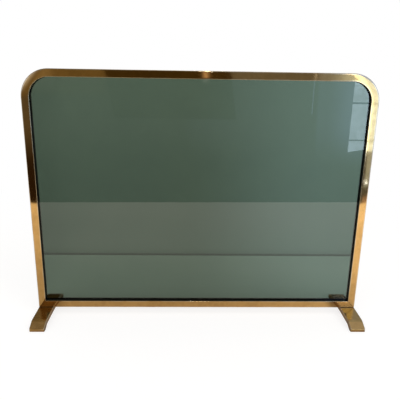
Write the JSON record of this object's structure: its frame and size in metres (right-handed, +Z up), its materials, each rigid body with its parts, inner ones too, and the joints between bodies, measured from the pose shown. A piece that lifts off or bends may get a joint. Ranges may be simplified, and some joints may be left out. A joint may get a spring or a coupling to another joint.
{
  "type": "fire screen",
  "caption": "Free-standing fire screen: a smoked glass pane in a slim brass frame with rounded top corners, carried on two brass feet that run front to back, with their ends set down to the floor.",
  "frame": {"origin": "on the floor, midway between the feet and midway through the frame's depth", "axes": "+X along the screen to the right as seen from the front, +Y from front to back, +Z up"},
  "size_m": [0.75, 0.1676, 0.5615],
  "materials": {
    "frame_brass": "polished, lightly brushed along the bar, with an aged patina",
    "foot_brass": "polished and lightly tarnished",
    "smoked_glass": "clear green-grey smoked glass, polished",
    "glazing_rubber": "matt black",
    "key_brass": "as sawn and drilled",
    "screw_brass": "turned, slotted"
  },
  "bodies": {
    "root": {"frame_hoop": "frame_brass", "bottom_rail": "frame_brass", "glass_panel": "smoked_glass", "hoop_gasket": "glazing_rubber", "bottom_gasket": "glazing_rubber", "left_corner_key": "key_brass", "right_corner_key": "key_brass", "left_foot": "foot_brass", "right_foot": "foot_brass", "foot_screws": "screw_brass"}
  },
  "joints": []
}
